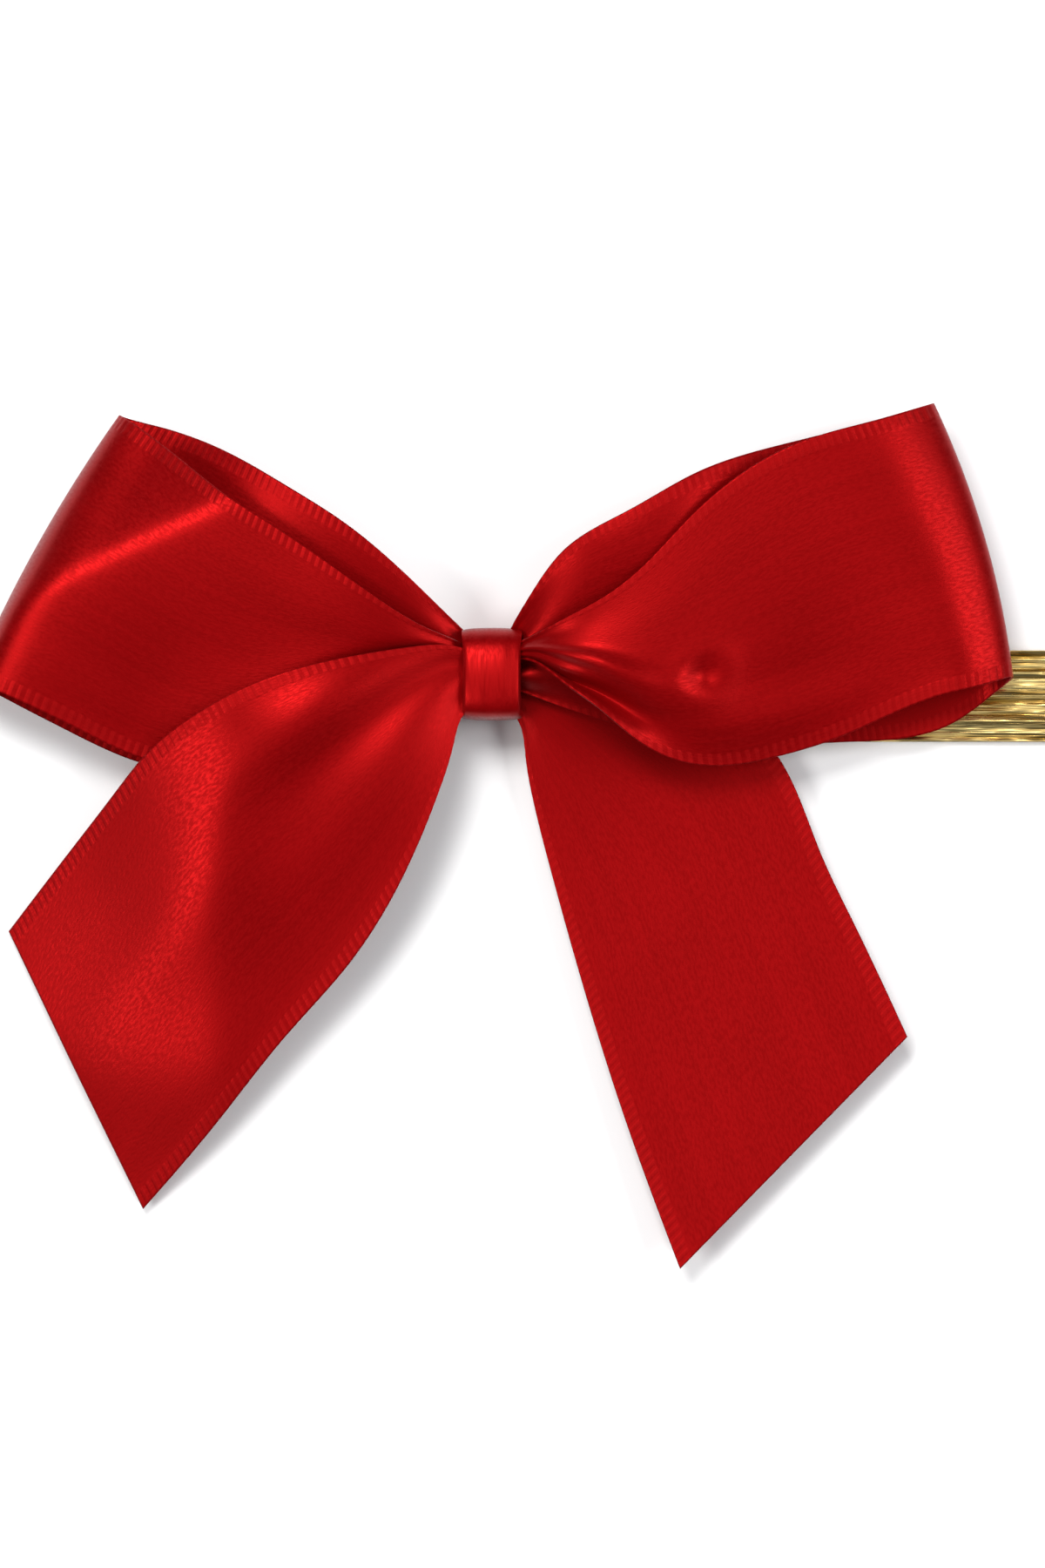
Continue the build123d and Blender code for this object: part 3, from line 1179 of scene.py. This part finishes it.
# ---- the bow ------------------------------------------------------------------------------
def right_loop() -> LoopRibbon:
    """The right loop, whose front lies over the right tail.

    Returns:
        The loop, ready to build.
    """
    return LoopRibbon(
        name="right_loop",
        body="right_loop",
        front_upper=[(1.1, 2.2), (2.7, 2.9), (6.2, 4.7), (10.0, 6.8), (13.4, 9.6), (17.0, 13.4), (21.2, 17.0),
                     (26.5, 19.9), (33.0, 21.8), (38.0, 23.3)],
        front_lower=[(1.1, 1.0), (2.7, 1.3), (6.0, -0.6), (9.1, -2.9), (12.2, -5.5), (15.5, -7.3),
                     (20.3, -7.9),
                     (25.1, -7.0), (29.9, -5.5), (36.3, -2.7), (41.0, -1.0), (44.9, 0.7)],
        back_upper=[(1.1, 2.6), (2.0, 4.6), (3.2, 6.6), (6.4, 10.8), (11.7, 14.0), (17.8, 17.4), (25.4, 19.9),
                    (33.0, 21.9), (38.2, 23.4)],
        back_lower=[(1.1, -1.0), (6.0, -2.8), (14.0, -5.2), (22.0, -6.3), (29.8, -5.9), (37.0, -5.3),
                    (41.0, -3.8),
                    (45.0, -1.3)],
        side=[(0.0, 5.7), (0.06, 7.6), (0.13, 9.1), (0.26, 9.9), (0.46, 10.0), (0.66, 9.8), (0.80, 9.3),
              (0.88, 8.6),
              (0.955, 7.3), (0.995, 5.8), (0.97, 4.3), (0.88, 3.3), (0.65, 3.0), (0.30, 3.3), (0.08, 4.0),
              (0.0, 4.4)],
        fold_bulge=1.0,
        bend_from=(1.6, 0.0, 5.5),
        bend_to=(15.4, 4.1, 5.5),
        front_shapes=[
            Pleats(2.5, 0.18, 0.14, 0.1),
            Crease([(0.0, 0.45), (0.1, 0.50), (0.2, 0.55), (0.32, 0.62), (0.5, 0.70), (1.0, 0.72)],
                   [(0.0, 0.2), (0.1, 0.6), (0.2, 0.75), (0.32, 0.4), (0.42, 0.0), (0.7, 0.0),
                    (1.0, 0.0)], 0.09),
            Crease([(0.0, 0.9), (0.1, 0.90), (0.2, 0.84), (0.35, 0.84), (1.0, 0.9)],
                   [(0.0, 0.0), (0.1, -1.2), (0.2, -1.7), (0.3, -0.9), (0.42, 0.0), (0.8, 0.0),
                    (1.0, 0.0)], 0.09),
            Crease([(0.0, 1.05), (1.0, 1.05)],
                   [(0.0, 0.0), (0.2, 0.0), (0.36, -1.4), (0.5, -1.2), (0.66, -0.3), (0.8, 0.0),
                    (1.0, 0.0)], 0.20),
            Crease([(0.0, 1.2), (1.0, 1.2)],
                   [(0.0, 0.0), (0.3, 0.0), (0.55, -2.8), (0.75, -2.6), (0.92, -0.4), (1.0, 0.0)], 0.7),
            Dimple((0.435, 0.62), (0.045, 0.075), 0.55),
        ],
        back_shapes=[
            Pleats(2.5, 0.45, 0.14, 0.1),
            Crease([(0.0, 0.05), (1.0, 0.05)],
                   [(0.0, 0.3), (0.1, 3.0), (0.25, 5.8), (0.5, 5.8), (0.8, 1.6), (1.0, 0.0)], 0.60),
        ],
    )


def left_loop() -> LoopRibbon:
    """The left loop, which the left tail lies over.

    Returns:
        The loop, ready to build.
    """
    return LoopRibbon(
        name="left_loop",
        body="left_loop",
        front_upper=[(-1.1, 1.6), (-2.8, 2.7), (-5.5, 3.9), (-10.0, 6.6), (-18.6, 12.6), (-23.6, 15.9),
                     (-27.2, 18.8), (-32.2, 22.4)],
        front_lower=[(-1.1, 0.2), (-2.8, 0.2), (-7.0, -1.2), (-12.0, -3.6), (-18.0, -6.4), (-24.0, -8.0),
                     (-29.8, -7.4), (-36.0, -4.6), (-44.9, -0.4)],
        back_upper=[(-1.1, 2.4), (-2.8, 4.1), (-7.2, 8.4), (-12.5, 12.9), (-17.8, 16.3), (-23.9, 19.7),
                    (-32.3, 22.5)],
        back_lower=[(-1.1, -0.8), (-7.0, -3.0), (-14.0, -6.0), (-22.0, -8.2), (-29.6, -7.9), (-37.0, -4.8),
                    (-44.9, -0.8)],
        side=[(0.0, 5.2), (0.08, 6.6), (0.22, 8.2), (0.50, 8.6), (0.74, 8.6), (0.90, 8.4), (0.975, 7.7),
              (1.0, 6.2),
              (1.0, 4.0), (0.97, 2.6), (0.87, 1.6), (0.65, 1.2), (0.30, 1.6), (0.08, 3.2), (0.0, 3.9)],
        fold_bulge=0.7,
        bend_from=(-1.6, 0.0, 5.5),
        bend_to=(-14.2, 6.9, 5.5),
        front_shapes=[
            Pleats(2.5, 0.22, 0.16, 0.35),
            Facet((0.675, 0.0), (0.97, 0.68), 0.50, 0.45, 37.0),
            Crease([(0.0, 0.35), (0.5, 0.50), (1.0, 0.5)],
                   [(0.0, 0.0), (0.15, -0.4), (0.35, -0.9), (0.60, -0.7), (0.8, -0.2), (1.0, 0.0)], 0.28),
            Crease([(0.0, 0.25), (0.15, 0.42), (0.35, 0.66), (1.0, 0.9)],
                   [(0.0, 0.0), (0.08, -0.5), (0.2, -1.0), (0.35, -0.5), (0.5, 0.0), (1.0, 0.0)], 0.12),
            Crease([(0.0, 1.0), (1.0, 1.0)],
                   [(0.0, 0.0), (0.25, -0.6), (0.45, -1.9), (0.62, -2.6), (0.72, -2.3), (0.85, -0.8),
                    (1.0, 0.0)], 0.38),
        ],
        back_shapes=[
            Pleats(2.5, 0.40, 0.14, 0.35),
            Crease([(0.0, 0.0), (1.0, 0.0)],
                   [(0.0, 0.3), (0.1, 2.2), (0.25, 4.6), (0.5, 5.9), (0.7, 4.2), (0.85, 1.4),
                    (1.0, 0.0)], 0.60),
        ],
    )


def left_tail() -> TailRibbon:
    """The left tail, which lies over the left loop and falls to the table.

    Returns:
        The tail, ready to build.
    """
    return TailRibbon(
        name="left_tail",
        body="left_tail",
        carrier="left_loop",
        first_selvedge=[(-1.1, 1.6), (-2.8, 2.3), (-7.0, 2.3), (-12.5, 1.4), (-18.7, -0.2), (-25.4, -3.4),
                        (-29.0, -6.1), (-32.5, -10.2), (-37.0, -15.9), (-42.0, -22.3)],
        second_selvedge=[(-1.1, -2.4), (-2.5, -3.6), (-3.3, -6.0), (-4.5, -10.0), (-7.6, -17.4),
                         (-12.3, -25.0),
                         (-17.9, -31.4), (-24.2, -39.3), (-30.3, -46.4)],
        height=[(0.0, 6.6), (0.06, 7.4), (0.2, 9.0), (0.36, 9.9), (0.50, 9.7), (0.65, 8.6), (0.8, 7.2),
                (1.0, 5.9)],
        bend_from=(-12.0, -12.0, 10.0),
        bend_to=(-26.2, -26.2, 8.0),
        rests_on=["left_loop"],
        flat_share=0.90,
        shapes=[
            Pleats(2.0, 0.09, 0.10, 0.0),
            Crease([(0.0, 0.20), (0.2, 0.32), (0.4, 0.42), (1.0, 0.45)],
                   [(0.0, 0.0), (0.1, -0.3), (0.26, -0.6), (0.42, -0.5), (0.55, 0.0), (1.0, 0.0)], 0.15),
            Crease([(0.0, 0.10), (0.3, 0.20), (0.5, 0.25), (1.0, 0.3)],
                   [(0.0, 0.0), (0.2, 0.3), (0.36, 0.6), (0.5, 0.2), (0.7, 0.0), (1.0, 0.0)], 0.13),
            Facet((0.46, 0.05), (0.77, 0.88), 0.235, 1.4, 52.0),
            Facet((1.0, 0.49), (0.8, 0.82), 0.30, 1.5, 52.0),
            Crease([(0.0, 1.0), (1.0, 1.0)],
                   [(0.0, 0.0), (0.2, -0.8), (0.4, -2.4), (0.6, -2.8), (0.8, -1.5), (1.0, 0.0)], 0.50),
        ],
        flip=True,
    )


def right_tail() -> TailRibbon:
    """The right tail, which comes out from under the right loop.

    Returns:
        The tail, ready to build.
    """
    return TailRibbon(
        name="right_tail",
        body="right_tail",
        carrier="knot",
        first_selvedge=[(1.1, 1.0), (2.7, 0.9), (8.0, 0.4), (14.5, -0.8), (20.5, -3.0), (24.6, -6.8),
                        (28.4, -15.2),
                        (31.5, -21.8), (36.0, -31.4)],
        second_selvedge=[(1.1, -2.6), (2.3, -4.0), (2.9, -7.0), (3.5, -10.6), (5.1, -17.0), (7.9, -27.0),
                         (11.9, -39.6), (16.3, -51.5)],
        height=[(0.0, 3.1), (0.05, 2.9), (0.2, 2.4), (0.5, 2.4), (0.75, 2.8), (1.0, 3.6)],
        bend_from=(12.0, -6.4, 2.3),
        bend_to=(12.0, -15.0, 2.3),
        rests_on=["gather_thread"],
        flat_share=0.90,
        shapes=[Pleats(2.0, 0.20, 0.08, 0.25)],
        flip=False,
    )


def tie_films() -> list[TieFilm]:
    """Both films of both halves of the tie: the upper leg, and the lower leg with the fold.

    Returns:
        Four films, the front ones first.
    """
    upper_route = [(-4.6, 1.36), (3.0, 1.36), (9.6, 1.36), (30.0, 1.36), (57.8, 1.36)]
    lower_route = [(-4.3, 1.36), (-5.1, 1.33), (-5.5, 1.05), (-5.1, 0.77), (-4.3, 0.74), (3.0, 0.74),
                   (9.6, 0.74),
                   (30.0, 0.74), (54.8, 0.74)]
    films = []
    for side, seed in ((Side.FRONT, 11), (Side.BACK, 12)):
        label = side.value
        films.append(TieFilm(
            name=f"upper_leg_{label}_foil", side=side, route=upper_route, drift=[(0.0, 0.1), (1.0, 0.08)],
            body="upper_leg", bend_from=(9.1, 0.1, 1.4), bend_to=(10.1, 0.1, 1.4),
            nodes=[f"upper_leg_{label}_film", f"tie_upper_run_{label}_film"], seed=seed, cup=0.35,
        ))
        films.append(TieFilm(
            name=f"lower_leg_{label}_foil", side=side, route=lower_route,
            drift=[(0.0, 0.1), (0.12, 0.1), (0.155, -0.6), (0.205, -3.4), (0.24, -3.85), (0.5, -3.85),
                   (1.0, -3.85)],
            body="lower_leg", bend_from=(9.1, -4.05, 0.8), bend_to=(10.1, -4.05, 0.8),
            nodes=[f"lower_leg_{label}_film", f"tie_lower_run_{label}_film"]
            + (["tie_fold"] if side is Side.FRONT else []), seed=seed + 10,
            ridge_at=-0.2,
        ))
    return films


def finish_carried_nodes(finishes: Finishes) -> None:
    """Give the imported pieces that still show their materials: wires, thread and glue.

    Args:
        finishes: the bow's materials.
    """
    choice = {
        "tie_upper_run_wire": finishes.wire,
        "tie_lower_run_wire": finishes.wire,
        "upper_leg_wire": finishes.wire,
        "lower_leg_wire": finishes.wire,
        "gather_thread": finishes.thread,
        "glue_dabs": finishes.glue,
    }
    for node, material in choice.items():
        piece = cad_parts[node]
        if not piece.material_slots:
            piece.data.materials.append(material)
        for slot in piece.material_slots:
            slot.material = material
        LOG.info("%s: %s", node, material.name)


def main() -> None:
    """Build the studio, then the bow from the ribbon outwards."""
    Studio().build()
    finishes = Finishes()
    loop = right_loop().build(finishes)
    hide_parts("right_loop_ribbon")
    loop = left_loop().build(finishes)
    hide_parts("left_loop_ribbon")
    tail = left_tail().build(finishes)
    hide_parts("left_tail_ribbon", "left_tail_root")
    tail = right_tail().build(finishes)
    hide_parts("right_tail_ribbon", "right_tail_root")
    CentreBand().build(finishes)
    Waist().build(finishes)
    for film in tie_films():
        film.build(finishes)
    finish_carried_nodes(finishes)


if __name__ == "__main__":
    main()
